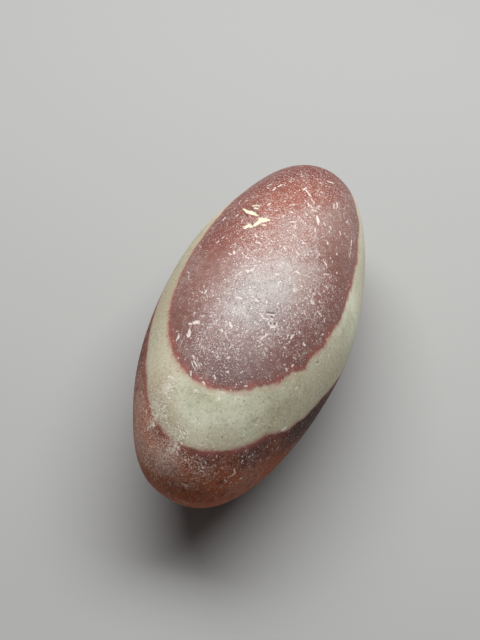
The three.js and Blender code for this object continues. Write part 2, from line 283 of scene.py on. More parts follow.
DARK_MARKS = [
    # On the cap.
    (0.9, (252.8, 223.8, 2.2)), (0.8, (244.5, 212.5, 1.1), (247.5, 215.8, 1)),
    (0.7, (251.5, 206.5, 1.3), (252.3, 209.5, 1.3)), (0.7, (256, 227.6, 1), (260.5, 226.2, 1)),
    (0.6, (255.5, 210.8, 1), (258, 212.3, 1)), (0.9, (250, 228.7, 0.8)),
    (0.6, (253.5, 224.5, 1.1), (252, 222, 1.1)), (0.6, (252, 209.5, 1.1), (254.5, 212, 0.9)),
    # The stroke from (267, 312.7) to (274, 313.2), just over the cluster of pits, is painted shade.
    (0.6, (194.5, 359.5, 0.6), (199, 366.8, 0.6)), (0.9, (267, 312.7, 0.8), (274, 313.2, 0.9)),
    (1, (271.8, 317, 1.2)), (1, (270.6, 322.9, 1.2)), (1, (274.9, 323.8, 1.3)),
    (0.6, (276.5, 190, 0.8)), (0.4, (267, 190, 1)), (0.5, (222, 386, 0.7), (223.5, 388.5, 0.8)),
    (0.5, (236.5, 380.5, 0.8)), (0.5, (313, 345, 0.8)), (0.5, (299.5, 364.5, 0.9)),
    (0.4, (240, 381, 0.8)),
    # On the band.
    (0.6, (316.5, 363, 1.3), (318.5, 362, 1.3)), (0.4, (315.5, 367, 1)), (0.5, (330, 348.8, 1.2)),
    (0.4, (335, 341, 1.2)), (0.5, (290, 395.5, 1.3)), (0.4, (335, 373, 1.2)), (0.4, (333, 379, 1)),
    (0.4, (346, 334, 1.3)), (0.5, (294, 388.5, 0.8)), (0.4, (350.5, 331, 1)), (0.4, (230, 418, 0.9)),
    (0.4, (244.5, 428.5, 0.7), (246, 430.5, 0.7)), (0.35, (192, 418.8, 1.2)),
    (0.3, (187.5, 382.5, 1.1)), (0.4, (207.5, 438, 1.5)), (0.35, (217.5, 418, 1), (218, 423, 1)),
    (0.4, (241.7, 434.5, 1.1)), (0.3, (226.5, 435.5, 0.9)), (0.4, (258, 418.5, 1.3), (253, 422.5, 1.4)),
    (0.3, (204, 395, 0.8), (208, 396.5, 0.8)), (0.3, (197.5, 403, 0.9)), (0.3, (224, 404.5, 0.9)),
    (0.6, (180.5, 440.8, 0.8)), (0.55, (177, 439.6, 0.7)),
    (0.6, (185.8, 437.2, 0.6), (184.6, 438.2, 0.6)), (0.5, (183.6, 439.9, 0.6), (183.3, 442.4, 0.6)),
    # On the base.
    (0.6, (172, 484, 2.6)), (0.5, (186, 457, 0.8)), (0.5, (190, 459, 0.8)), (0.5, (223, 457, 0.9)),
    (0.5, (234, 461, 0.9)), (0.4, (156.5, 446, 0.9)), (0.4, (158, 449, 0.9)), (0.5, (163, 443.5, 1)),
    (0.7, (187.2, 457.2, 0.8)), (0.6, (167.2, 465.2, 0.8)), (0.6, (169.9, 465.5, 0.8)),
    (0.5, (194.1, 460.2, 1.1)), (0.5, (176.1, 453.6, 0.7)), (0.6, (233.6, 460.6, 0.9)),
    (0.45, (226.8, 462.6, 1)), (0.5, (209.6, 470.6, 0.7)), (0.45, (216, 471.8, 0.7)),
    (0.4, (223, 470.4, 0.8)), (0.4, (237.6, 481.4, 0.8)), (0.4, (220.4, 486.8, 0.7), (223, 487, 0.7)),
]
# A mark is at its full strength within the core and gone at the reach, both as shares of its half
# width. The mesh is also cut finer in a margin round it. The others are in millimetres.
MARK_CORE = 0.3
MARK_REACH = 1.35
MARK_MARGIN = 0.45
MARK_SPREAD = 0.02
LEAST_HALF_WIDTH = 0.12
LONGEST_STRETCH = 8
NO_LENGTH = 1e-6

stone_surface = BVHTree.FromObject(river_stone, bpy.context.evaluated_depsgraph_get())


def on_stone(across, down, half_width):
    """Lays a place of the view on the stone: x, y, z from its middle and half width, in mm."""
    ray = sight * FOCAL + view_across * (across - VIEW_WIDTH / 2) - view_up * (down - VIEW_HEIGHT / 2)
    place = stone_surface.ray_cast(viewpoint, ray.normalized())[0]
    apart = (place - viewpoint).length / FOCAL / MM
    half_width = max(half_width * apart + MARK_SPREAD, LEAST_HALF_WIDTH)
    return (*((np.array(place) - STONE_MIDDLE) / MM), half_width)


def lay_marks(drawn):
    """The drawn marks with each of their places laid on the stone."""
    return [(strength, *[on_stone(*place) for place in line]) for strength, *line in drawn]


chips = lay_marks(CHIPS)
pale_marks = lay_marks(PALE_MARKS)
dark_marks = lay_marks(DARK_MARKS)


def along_marks(points, marks, value):
    """The largest value that any stretch of any mark gives at each of the points."""
    most = np.zeros(len(points))
    for strength, *line in marks:
        for start, end in zip(line, line[1:] or line):
            start, end = np.array(start), np.array(end)
            near = np.flatnonzero(np.abs(points[:, 0] - start[0]) < LONGEST_STRETCH)
            run = end[:3] - start[:3]
            along = np.clip((points[near] - start[:3]) @ run / max(run @ run, NO_LENGTH), 0, 1)
            away = np.linalg.norm(points[near] - start[:3] - along[:, None] * run, axis=1)
            half_width = start[3] + (end[3] - start[3]) * along
            most[near] = np.maximum(most[near], value(strength, away, half_width))
    return most


def fading(strength, away, half_width):
    """Full strength on the line, less towards the mark's edge, and nothing beyond its reach."""
    return strength * np.clip((MARK_REACH - away / half_width) / (MARK_REACH - MARK_CORE), 0, 1)


def touched(strength, away, half_width):
    """Whether a place is so near to a mark that the mesh is cut finer there."""
    return away < MARK_REACH * half_width + MARK_MARGIN


def from_middle(layer, field):
    """Places read from the mesh, in millimetres from the stone's middle."""
    flat = np.empty(len(layer) * 3)
    layer.foreach_get(field, flat)
    return (flat.reshape(-1, 3) - STONE_MIDDLE) / MM


# The mesh is cut finer where a mark is.
marked = along_marks(
    from_middle(stone_mesh.polygons, "center"), chips + pale_marks + dark_marks, touched
)
bpy.ops.object.mode_set(mode="EDIT")
bpy.ops.mesh.select_mode(type="FACE")
bpy.ops.mesh.select_all(action="DESELECT")
bpy.ops.object.mode_set(mode="OBJECT")
stone_mesh.polygons.foreach_set("select", marked > 0)
bpy.ops.object.mode_set(mode="EDIT")
bpy.ops.mesh.subdivide(number_cuts=2)
bpy.ops.mesh.select_all(action="DESELECT")
bpy.ops.object.mode_set(mode="OBJECT")
apply_modifier(river_stone, "SMOOTH", factor=0.5, iterations=8)

places = from_middle(stone_mesh.vertices, "co")
egg_normals = places / STONE_HALF**2
egg_normals /= np.linalg.norm(egg_normals, axis=1)[:, None]


def lay_on(name, values):
    """Keeps one number for each corner of the mesh, which the material reads by its name."""
    layer = stone_mesh.attributes.new(name, "FLOAT", "POINT")
    layer.data.foreach_set("value", values.astype(np.float32))


# The layers lie nearly level. Each edge between two of them is a height above the middle,
# at bearings round the stone, in degrees from its pointed end.
CAP_EDGE = [
    (0, 6), (20, 8), (40, 11), (54, 14), (66, 17), (80, 17.6), (92, 17.3), (112, 17.4), (124, 18.2),
    (138, 19), (157, 19.7), (176, 20), (198, 19.5), (216, 18.4), (230, 16.8), (236, 16.4),
    (243, 14.6), (246, 15.1), (250, 14.7), (255, 13.7), (259, 13.9), (267, 12.7), (276, 12.9),
    (289, 12.4), (291, 11.8), (301, 11.8), (311, 10.2), (322, 10.2), (340, 7), (350, 6),
]
BASE_EDGE = [
    (0, -11), (25, -10), (45, -7), (60, -3), (75, 1.5), (88, 6), (98, 9), (106, 10.6), (121, 12),
    (125, 12.6), (130, 12.3), (136, 13), (143, 12.8), (160, 13.4), (185, 13.4), (198, 12.7),
    (211, 11.5), (221, 10.7), (227, 8.7), (231, 7), (235, 6.5), (239, 4.9), (242, 4.6), (249, 3),
    (260, -1.5), (275, -6), (290, -8), (310, -9.5), (335, -11),
]
LEAST_STEEPNESS = 0.25

bearings = np.degrees(np.arctan2(places[:, 1] / STONE_HALF[1], places[:, 0] / STONE_HALF[0])) % 360
steepness = np.maximum(np.sqrt(1 - egg_normals[:, 2] ** 2), LEAST_STEEPNESS)


def past_edge(edge):
    """How far each corner lies above an edge, measured along the stone's skin."""
    edge_bearings, edge_heights = zip(*edge)
    edge_height = np.interp(bearings, edge_bearings, edge_heights, period=360)
    return (places[:, 2] - edge_height) / steepness


def clouds(patches):
    """Soft patches added together. A patch is its middle, its reach and its strength, which is
    below nothing where it takes away from the others."""
    total = np.zeros(len(places))
    for middle, reach, strength in patches:
        away = np.linalg.norm(places - np.array(middle), axis=1) / reach
        total += strength * np.exp(-away * away)
    return total


# Pale dust rubbed into the skin round the blunted end.
DUST = [
    ((-49.5, 4, 14), 3.2, 0.5), ((-52, 2.5, 12.5), 2, 0.35), ((-40, 9, 17), 2.5, 0.8),
    ((-43, 12, 14), 4, 0.5), ((-46, 9, 14.5), 3, 0.5), ((-48.4, 10.2, 11.9), 1.8, 0.6),
    ((-48.3, 0.9, 15.2), 1.5, 0.4), ((-52.2, 2, 12.6), 1.5, 0.4), ((-54, 4.5, 9.5), 2.5, 0.6),
]
# How thickly the fine white specks lie.
SUGAR = [
    # The top of the cap is all fine grains, thickest round the ridge and thin on both slopes.
    ((-3, -5, 25), 18, 1), ((-26, 2, 23), 5, 1), ((-15, -3, 25), 5, 0.8), ((7, -3, 25), 8, 0.8),
    ((-1, -12, 23), 5, 0.7), ((-18, -10, 23), 4, 0.5), ((-7, -3, 25), 5, 0.5),
    ((-5, 10, 24), 8, -0.6), ((11, -17, 19), 8, -0.4), ((-6, -21, 16), 12, -0.3),
    ((-24, 11, 21), 8, -0.25), ((7, 11, 23), 8, -0.25), ((-28, -13, 19), 8, -0.2),
    ((38, -2, 19), 14, 0.2),
    # The base is grainy round its blunted end and smoother down its side.
    ((-54, 7, 10), 12, 1.2), ((-48, 15, 6), 8, 0.5), ((-56, -4, 9), 4, 0.7),
    ((-55, -6, 6), 6, -0.4), ((-46, -17, 0), 8, -0.2), ((-26, -25, 2), 9, -0.25),
]
# Where the skin of the cap and of the base is paler or darker: partly frosted by rubbing, partly
# a painted highlight on the cap's ridge, and painted light and shade elsewhere.
FROST_AND_PAINTED_LIGHT = [
    # On the cap one shoulder, towards the pointed end, is kept dark, which is painted shade; the
    # ridge and the slope beyond it are pale, partly frosted and partly a painted highlight.
    ((33, 12, 17), 18, -2.4), ((38, 5, 19), 8, -1.7), ((20, 17, 18), 8, -1.2),
    ((41, 7, 17), 8, -0.9), ((12, 13, 22), 8, -0.8), ((24, -6, 22), 12, 0.8),
    ((-7, -6, 25), 8, 0.9), ((-17, -1, 25), 5, 0.7), ((2, -9, 24), 8, 0.4), ((13, -1, 25), 5, 0.4),
    ((11, 6, 24), 5, -0.5), ((40, -11, 16), 12, 0.3), ((-26, -8, 22), 6, 0.2),
    ((-6, 17, 20), 12, 0.2),
    # The base is pale under its edge, partly frosted and partly painted light, and kept dark at
    # the tip of its blunted end and along one side, which is painted shade.
    ((-55, 3, 8), 5, 1.4), ((-59, 2, 3), 5, -1.6), ((-52, -7, 11), 5, -1.6),
    ((-52, 12, 5), 6, 0.6), ((-40, 18, 8), 12, 0.6), ((-50, -15, 3), 8, 0.6),
    ((-30, -23, 3), 8, -1),
]
# Painted shade: where the cap and the base are darkened to stand for shade, round the rim of the
# pointed end and low down along one side of the base.
PAINTED_SHADE = [
    ((46, 1, 16), 8, 0.85), ((37, 10, 17), 8, 0.7), ((27, 15, 18), 7, 0.45), ((53, -5, 11), 8, 0.6),
    ((53, 8, 9), 10, 0.7), ((-31, -23, 4), 8, 0.8), ((-21, -26, -1), 8, 0.7), ((-38, -20, 5), 6, 0.35),
]
# Where the cap is redder, and where the base is browner, partly rust and partly painted warm
# reflected light.
RED_CAP = [
    # The cap is reddest on the pointed side of its middle and greyest on the blunted side.
    ((16, -2, 24), 18, 0.9), ((17, -4, 24), 5, 0.6), ((37, 0, 20), 12, 0.3),
    ((-3, -10, 24), 8, 0.5), ((-10, 14, 22), 12, 0.2), ((-14, -4, 25), 5, -1.5),
    ((-9, -4, 25), 5, -0.4), ((-33, -5, 21), 8, -0.3), ((11, -15, 20), 8, -0.3),
    ((14, 14, 21), 8, -0.3),
]
BROWN_AND_BOUNCE_BASE = [
    # The blunted end is rusty low down, and less so just under the band; the rust low down is
    # partly painted warm reflected light.
    ((-58, 5, 1), 18, 2.2), ((-59, -4, 2), 4, 1.3), ((-55, 8, 7), 4, 1.2),
    ((-37, -21, 0), 8, 0.8), ((-49, -15, -2), 8, 0.8), ((-52, -3, 12), 8, -1.1),
    ((-51, 8, 12), 5, -1), ((-45, -15, 10), 5, -0.8),
]
# Where the band is paler, partly in its own colour and partly painted light and shade, and where
# it is warmer in colour.
PALE_BAND_AND_LIGHT = [
    # The band is palest at the blunted end, and on one side towards the pointed end; this is
    # partly painted light and shade.
    ((-49, 4, 15), 5, 1.7), ((-44, 10, 15), 4, 0.8), ((-50, 0, 14), 4, 0.6),
    ((20, -23, 10), 18, 1.6), ((-27, 19, 14), 12, 0.8), ((-15, -23, 12), 5, 0.3),
    ((-33, -19, 11), 12, -0.5), ((-42, 2, 18), 6, -0.5), ((-1, -26, 8), 8, -0.5),
    ((4, 21, 16), 18, -0.4),
]
WARM_BAND = [
    # It is tan round the blunted end, and greener just under the cap there and halfway along
    # one side.
    ((-48, 7, 14), 8, 0.7), ((-47, -7, 14), 5, 0.5), ((-42, 12, 14), 5, 0.3),
    ((-15, 22, 15), 18, 0.5), ((-16, -26, 4), 12, 0.3), ((-39, -5, 19), 8, -1.2),
    ((-40, 2, 19), 5, -0.8), ((0, -25, 10), 8, -0.9), ((-31, -16, 16), 8, -0.3),
]

lay_on("above_cap_edge", past_edge(CAP_EDGE))
lay_on("above_base_edge", past_edge(BASE_EDGE))
chip = along_marks(places, chips, fading)
pale_mark = along_marks(places, pale_marks, fading)
dark_mark = along_marks(places, dark_marks, fading)
lay_on("chip", chip)
lay_on("pale_mark", pale_mark)
lay_on("dark_mark", dark_mark)
PATCHES = {
    "dust": DUST,
    "sugar": SUGAR,
    "frost_and_painted_light": FROST_AND_PAINTED_LIGHT,
    "painted_shade": PAINTED_SHADE,
    "red_cap": RED_CAP,
    "brown_and_bounce_base": BROWN_AND_BOUNCE_BASE,
    "pale_band_and_light": PALE_BAND_AND_LIGHT,
    "warm_band": WARM_BAND,
}
for name, patches in PATCHES.items():
    lay_on(name, clouds(patches))

# The chips, bruises and dark marks are pressed into the mesh, to these depths in millimetres,
# and the whole skin undulates very slightly.
PRESSED = [(chip, 0.3), (pale_mark, 0.06), (dark_mark, 0.15)]
for marks, depth in PRESSED:
    group = river_stone.vertex_groups.new(name="pressed")
    for corner in np.flatnonzero(marks > 0):
        group.add([int(corner)], float(marks[corner]), "REPLACE")
    apply_modifier(
        river_stone, "DISPLACE", strength=-depth * MM, mid_level=0, vertex_group=group.name
    )
    river_stone.vertex_groups.clear()

UNDULATION_SIZE = 3.5 * MM
UNDULATION_DEPTH = 0.05 * MM
undulation = bpy.data.textures.new("undulation", "CLOUDS")
undulation.noise_scale = UNDULATION_SIZE
undulation.noise_depth = 2
apply_modifier(
    river_stone,
    "DISPLACE",
    texture=undulation,
    texture_coords="LOCAL",
    strength=UNDULATION_DEPTH,
    mid_level=0.5,
)
bpy.ops.object.shade_smooth()


def tint(red, green, blue):
    """A colour as a screen shows it, in parts from 0 to 255, made linear for the shader."""
    parts = [part / 255 for part in (red, green, blue)]
    linear = [part / 12.92 if part < 0.04045 else ((part + 0.055) / 1.055) ** 2.4 for part in parts]
    return (*linear, 1.0)


class Wiring:
    """Adds shader nodes by what they work out. An input may be a number, a colour or an output."""

    CHANCE = (0.0, 0.04)
    CURLS_KEPT = 0.42
    CURL_ENDS = (0.71, 0.78)
    ELSEWHERE = (17.0, 5.0, 9.0)

    def __init__(self, material):
        material.use_nodes = True
        self.nodes = material.node_tree.nodes
        self.links = material.node_tree.links

    def feed(self, socket, value):
        """Links an output to the socket, or sets the socket to a plain value."""
        if isinstance(value, bpy.types.NodeSocket):
            self.links.new(value, socket)
        else:
            socket.default_value = value

    def node(self, kind, inputs, **settings):
        """Adds one node with its inputs fed, and gives its outputs."""
        node = self.nodes.new(kind)
        for name, value in settings.items():
            setattr(node, name, value)
        for key, value in inputs.items():
            self.feed(node.inputs[key], value)
        return node.outputs

    def math(self, operation, first, second=0.0):
        return self.node("ShaderNodeMath", {0: first, 1: second}, operation=operation)[0]

    def centred(self, noise):
        """A noise, which swings about a half, made to swing about nothing."""
        return self.math("SUBTRACT", noise, 0.5)

    def rest(self, share):
        """What a share leaves of the whole."""
        return self.math("SUBTRACT", 1.0, share)

    def total(self, *terms):
        result = terms[0]
        for term in terms[1:]:
            result = self.math("ADD", result, term)
        return result

    def times(self, *factors):
        result = factors[0]
        for factor in factors[1:]:
            result = self.math("MULTIPLY", result, factor)
        return result

    def most(self, *values):
        result = values[0]
        for value in values[1:]:
            result = self.math("MAXIMUM", result, value)
        return result

    def ease(self, value, low, high, start=0.0, end=1.0):
        """Goes smoothly from start to end while the value goes from low to high."""
        inputs = {"Value": value, "From Min": low, "From Max": high, "To Min": start, "To Max": end}
        return self.node("ShaderNodeMapRange", inputs, interpolation_type="SMOOTHSTEP")[0]

    def measured(self, name):
        """A number that is laid on the mesh."""
        return self.node("ShaderNodeAttribute", {}, attribute_name=name)["Fac"]

    def moved(self, place, step):
        return self.node("ShaderNodeVectorMath", {0: place, 1: step}, operation="ADD")[0]

    def scaled(self, place, scale):
        return self.node("ShaderNodeVectorMath", {0: place, "Scale": scale}, operation="SCALE")[0]

    def noise(self, coordinates, size, detail=2.0, roughness=0.5, output="Fac"):
        inputs = {"Vector": coordinates, "Scale": 1 / size, "Detail": detail, "Roughness": roughness}
        return self.node("ShaderNodeTexNoise", inputs)[output]

    def warped(self, coordinates, size, reach):
        """The coordinates pushed about by up to half the reach."""
        colour = self.noise(coordinates, size, output="Color")
        push = self.scaled(self.moved(colour, (-0.5, -0.5, -0.5)), reach)
        return self.moved(coordinates, push)

    def cells(self, coordinates, size, share):
        """Distance from the middle of each cell, and whether the cell is one of this share."""
        inputs = {"Vector": coordinates, "Scale": 1 / size, "Randomness": 1.0}
        cell = self.node("ShaderNodeTexVoronoi", inputs)
        chance = self.node("ShaderNodeSeparateColor", {0: cell["Color"]})[0]
        return cell["Distance"], self.ease(self.math("SUBTRACT", share, chance), *self.CHANCE)

    def grains(self, coordinates, size, share, radius):
        """Separate round grains. The radius is a share of the cell's size."""
        far, there = self.cells(coordinates, size, share)
        return self.times(there, self.ease(far, radius * 1.2, radius * 0.5))

    def curls(self, coordinates, size, share, breadth):
        """Short curved strokes: broken stretches of the lines on which a noise is at its middle."""
        off_line = self.math("ABSOLUTE", self.centred(self.noise(coordinates, size, detail=1.0)))
        line = self.ease(off_line, breadth, breadth * 0.3)
        whole = self.noise(self.moved(coordinates, self.ELSEWHERE), size * 0.8, detail=0.0)
        whole = self.total(whole, self.times(share, self.CURLS_KEPT))
        return self.times(line, self.ease(whole, *self.CURL_ENDS))

    def mix(self, amount, under, over):
        """One colour laid over another. The node's colour sockets are known by their numbers."""
        inputs = {0: amount, 6: under, 7: over}
        return self.node("ShaderNodeMix", inputs, data_type="RGBA")[2]

    def laid(self, under, over, noise, stretch, most):
        """One colour laid over another, up to the most, as the noise goes through the stretch."""
        return self.mix(self.ease(noise, *stretch, 0.0, most), under, over)


# The material. Its noises are sized in millimetres and swing about a half. These are stretches of
# that swing, from where a colour begins to show to where it shows fully.
PEAKS = (0.45, 0.75)
HOLLOWS = (0.45, 0.25)
MOTTLE_PEAKS = (0.5, 0.68)
MOTTLE_HOLLOWS = (0.5, 0.32)
GRAIN_PEAKS = (0.5, 0.75)
GRAIN_HOLLOWS = (0.48, 0.25)
WHOLE_SWING = (0.3, 0.7)
MIDDLE_SWING = (0.35, 0.65)
LOW_SWING = (0.3, 0.65)
LOWEST_SWING = (0.3, 0.6)

banded_quartz = bpy.data.materials.new("banded_quartz")
wire = Wiring(banded_quartz)
shader = wire.nodes["Principled BSDF"]

object_place = wire.node("ShaderNodeTexCoord", {})["Object"]
at = wire.scaled(object_place, 1 / MM)

# The edges of the layers wander, the cap's twice as far as the base's, and are finely ragged.
EDGE_WANDER = 1.7
EDGE_SOFTNESS = 0.45

ragged = wire.times(wire.centred(wire.noise(at, 2.0, detail=3.0, roughness=0.6)), EDGE_WANDER)
in_cap = wire.total(wire.measured("above_cap_edge"), ragged)
over_base = wire.total(wire.measured("above_base_edge"), wire.times(ragged, 0.5))
cap = wire.ease(in_cap, -EDGE_SOFTNESS, EDGE_SOFTNESS)
base = wire.ease(over_base, EDGE_SOFTNESS, -EDGE_SOFTNESS)
band = wire.times(wire.rest(cap), wire.rest(base))

broad = wire.noise(at, 14.0, detail=2.0)
patchy = wire.noise(wire.warped(at, 9.0, 4.0), 4.0, detail=4.0, roughness=0.6)
cloudy = wire.noise(at, 3.5, detail=4.0, roughness=0.65)
mottled = wire.noise(wire.warped(at, 2.5, 1.5), 1.8, detail=3.0, roughness=0.6)
grainy = wire.noise(at, 0.65, detail=3.0, roughness=0.75)
broadly = wire.times(broad, 0.2)

# Rubbing has frosted the skin, a little more on the cap and less on the base. The same pale
# haze also carries a painted highlight on the cap and painted light and shade on the base.
FROST_AND_LIGHT_ON_CAP = 0.08
FROST_AND_LIGHT_ON_BASE = -0.21
FROST_AND_LIGHT_CLOUDING = (0.7, 1.25)

worn_and_lit = wire.total(
    wire.measured("frost_and_painted_light"), wire.times(cap, FROST_AND_LIGHT_ON_CAP), wire.times(base, FROST_AND_LIGHT_ON_BASE)
)
frost_and_painted_light = wire.times(worn_and_lit, wire.ease(cloudy, *WHOLE_SWING, *FROST_AND_LIGHT_CLOUDING))

# The cap: purple-brown, redder where it is marked so, with a brick-red rim along its edge.
PURPLE_BROWN = tint(108, 68, 65)
BRICK_BROWN = tint(152, 82, 62)
DUSKY_PINK = tint(136, 96, 90)
UMBER = tint(104, 62, 56)
CAP_FROST_AND_HIGHLIGHT = tint(176, 167, 161)
CAP_FLECK = tint(182, 158, 150)
CAP_HOLLOW = tint(108, 62, 54)
CAP_PAINTED_SHADE = tint(112, 42, 28)
CAP_RIM = tint(158, 86, 76)
CAP_REDNESS = 0.17
CAP_CLOUDING = 0.3
CAP_FROST_AND_HIGHLIGHT_SHARE = 0.85
CAP_RIM_REACH = (2.2, 0.3)
CAP_RIM_STRENGTH = (0.2, 0.85)


def cap_colour():
    redness = wire.total(wire.measured("red_cap"), CAP_REDNESS, broadly)
    colour = wire.mix(redness, PURPLE_BROWN, BRICK_BROWN)
    colour = wire.laid(colour, DUSKY_PINK, patchy, PEAKS, CAP_CLOUDING)
    colour = wire.laid(colour, UMBER, patchy, HOLLOWS, CAP_CLOUDING)
    # The frosted haze, partly a painted highlight.
    colour = wire.mix(wire.times(frost_and_painted_light, CAP_FROST_AND_HIGHLIGHT_SHARE), colour, CAP_FROST_AND_HIGHLIGHT)
    colour = wire.laid(colour, CAP_FLECK, mottled, MOTTLE_PEAKS, CAP_CLOUDING)
    colour = wire.laid(colour, CAP_HOLLOW, mottled, MOTTLE_HOLLOWS, CAP_CLOUDING)
    # Painted shade darkens the cap where its patches lie.
    colour = wire.mix(wire.measured("painted_shade"), colour, CAP_PAINTED_SHADE)
    broken = wire.ease(wire.noise(at, 3.0, detail=2.0), *LOW_SWING, *CAP_RIM_STRENGTH)
    rim = wire.times(wire.ease(in_cap, *CAP_RIM_REACH), broken)
    return wire.mix(rim, colour, CAP_RIM)


# The band: grey-green and cloudy, with pale and dark grains, stained pink along both its edges.
OLIVE_GREY = tint(172, 169, 138)
GREEN_CREAM = tint(234, 234, 208)
TAN = tint(187, 165, 135)
SAGE = tint(172, 183, 156)
PALE_GRAIN = tint(224, 220, 200)
DARK_GRAIN = tint(132, 134, 106)
HIGH_STAIN = tint(184, 138, 120)
LOW_STAIN = tint(172, 122, 108)
BAND_PALENESS_AND_LIGHT = 0.49
BAND_CLOUDING = (-0.1, 0.32)
BAND_WARMTH = 0.43
SAGE_SHARE = 0.3
PALE_GRAIN_SHARE = 0.55
DARK_GRAIN_SHARE = 0.68
HIGH_STAIN_REACH = (-1.5, 0.0)
HIGH_STAIN_STRENGTH = (0.3, 0.85)
LOW_STAIN_REACH = (1.3, 0.0)
LOW_STAIN_STRENGTH = (0.2, 0.7)


def band_colour():
    clouding = wire.ease(patchy, *WHOLE_SWING, *BAND_CLOUDING)
    # How pale the band is, partly painted light and shade.
    paleness_and_light = wire.total(wire.measured("pale_band_and_light"), BAND_PALENESS_AND_LIGHT, clouding)
    warmth = wire.total(wire.measured("warm_band"), BAND_WARMTH)
    colour = wire.mix(paleness_and_light, OLIVE_GREY, GREEN_CREAM)
    colour = wire.mix(warmth, colour, TAN)
    colour = wire.laid(colour, SAGE, broad, MIDDLE_SWING, SAGE_SHARE)
    colour = wire.laid(colour, PALE_GRAIN, grainy, GRAIN_PEAKS, PALE_GRAIN_SHARE)
    colour = wire.laid(colour, DARK_GRAIN, grainy, GRAIN_HOLLOWS, DARK_GRAIN_SHARE)
    broken = wire.ease(wire.noise(at, 3.0, detail=1.0), *MIDDLE_SWING, *HIGH_STAIN_STRENGTH)
    high_stain = wire.times(wire.ease(in_cap, *HIGH_STAIN_REACH), broken)
    colour = wire.mix(high_stain, colour, HIGH_STAIN)
    broken = wire.ease(wire.noise(at, 4.0, detail=1.0), *LOWEST_SWING, *LOW_STAIN_STRENGTH)
    low_stain = wire.times(wire.ease(over_base, *LOW_STAIN_REACH), broken)
    return wire.mix(low_stain, colour, LOW_STAIN)


# The base: dark maroon under the band, rusty where it is marked so, the rust partly painted warm
# reflected light, with a thin crimson line at its top.
DARK_MAROON = tint(94, 50, 42)
RUST_AND_WARM_BOUNCE = tint(180, 92, 46)
DUSTY_MAROON = tint(126, 84, 78)
BASE_FROST_AND_LIGHT = tint(178, 152, 140)
BASE_FLECK = tint(150, 112, 100)
BASE_HOLLOW = tint(62, 32, 27)
CRIMSON = tint(150, 80, 72)
BASE_PAINTED_SHADE = tint(54, 28, 24)
BASE_RUST_AND_BOUNCE = 0.05
BASE_CLOUDING = 0.3
BASE_FROST_AND_LIGHT_SHARE = 0.8
BASE_MOTTLING = 0.5
CRIMSON_REACH = (-2.0, 0.0)
CRIMSON_STRENGTH = (0.25, 0.8)


def base_colour():
    # The rust is partly painted warm reflected light.
    rust_and_bounce = wire.total(wire.measured("brown_and_bounce_base"), BASE_RUST_AND_BOUNCE, broadly)
    colour = wire.mix(rust_and_bounce, DARK_MAROON, RUST_AND_WARM_BOUNCE)
    colour = wire.laid(colour, DUSTY_MAROON, patchy, PEAKS, BASE_CLOUDING)
    # The frosted haze, partly painted light.
    colour = wire.mix(wire.times(frost_and_painted_light, BASE_FROST_AND_LIGHT_SHARE), colour, BASE_FROST_AND_LIGHT)
    colour = wire.laid(colour, BASE_FLECK, mottled, MOTTLE_PEAKS, BASE_MOTTLING)
    colour = wire.laid(colour, BASE_HOLLOW, mottled, MOTTLE_HOLLOWS, BASE_MOTTLING)
    broken = wire.ease(wire.noise(at, 4.0, detail=1.0), *LOWEST_SWING, *CRIMSON_STRENGTH)
    crimson = wire.times(wire.ease(over_base, *CRIMSON_REACH), broken)
    colour = wire.mix(crimson, colour, CRIMSON)
    # Painted shade darkens the base where its patches lie.
    return wire.mix(wire.measured("painted_shade"), colour, BASE_PAINTED_SHADE)


skin = wire.mix(cap, band_colour(), cap_colour())
skin = wire.mix(base, skin, base_colour())

# How much of the skin the fine white specks take up. They lie on the cap and the base, and are few
# on the band and low down on the base, except where there is dust.
SPECKS_ON_CAP = 0.11
SPECKS_ON_BASE = 0.21
SPECKS_ON_BAND = 0.12
SPECKS_LOW_DOWN = 0.25
MOST_SPECKS = 0.52
MORE_ON_BASE = 0.2
SPECKS_IN_DUST = 0.7
BROAD_GATHERING = (0.7, 1.25)
FINE_GATHERING = (0.7, 1.3)
INSIDE_CAP = (0.3, 2.0)
INSIDE_BASE = (-0.5, -2.5)
LOW_DOWN = (-7.0, -11.0)

sugar = wire.total(
    wire.measured("sugar"), wire.times(cap, SPECKS_ON_CAP), wire.times(base, SPECKS_ON_BASE)
)
off_band = wire.most(wire.ease(in_cap, *INSIDE_CAP), wire.ease(over_base, *INSIDE_BASE))
sugar = wire.times(
    sugar,
    wire.ease(cloudy, *MIDDLE_SWING, *BROAD_GATHERING),
    wire.ease(wire.noise(at, 2.2, detail=2.0), *MIDDLE_SWING, *FINE_GATHERING),
    wire.ease(off_band, 0.0, 1.0, SPECKS_ON_BAND, 1.0),
    wire.ease(over_base, *LOW_DOWN, 1.0, SPECKS_LOW_DOWN),
)
dust = wire.measured("dust")
thickest = wire.total(MOST_SPECKS, wire.times(base, MORE_ON_BASE))
share = wire.total(wire.math("MINIMUM", sugar, thickest), wire.times(dust, SPECKS_IN_DUST))

# The specks are round grains and short curls. A size is that of the cells in which the grains lie,
# or of the waves that the curls follow. The finest grains are fewer on the base.
SPECK_WHITE = tint(252, 245, 240)
SPECK_WHITE_ON_BASE = tint(234, 206, 190)
FINEST_ON_CAP_AND_BASE = (0.9, 0.55)
SPECK_STRENGTH = (0.65, 1.0)
SPECK_COVER = 0.95

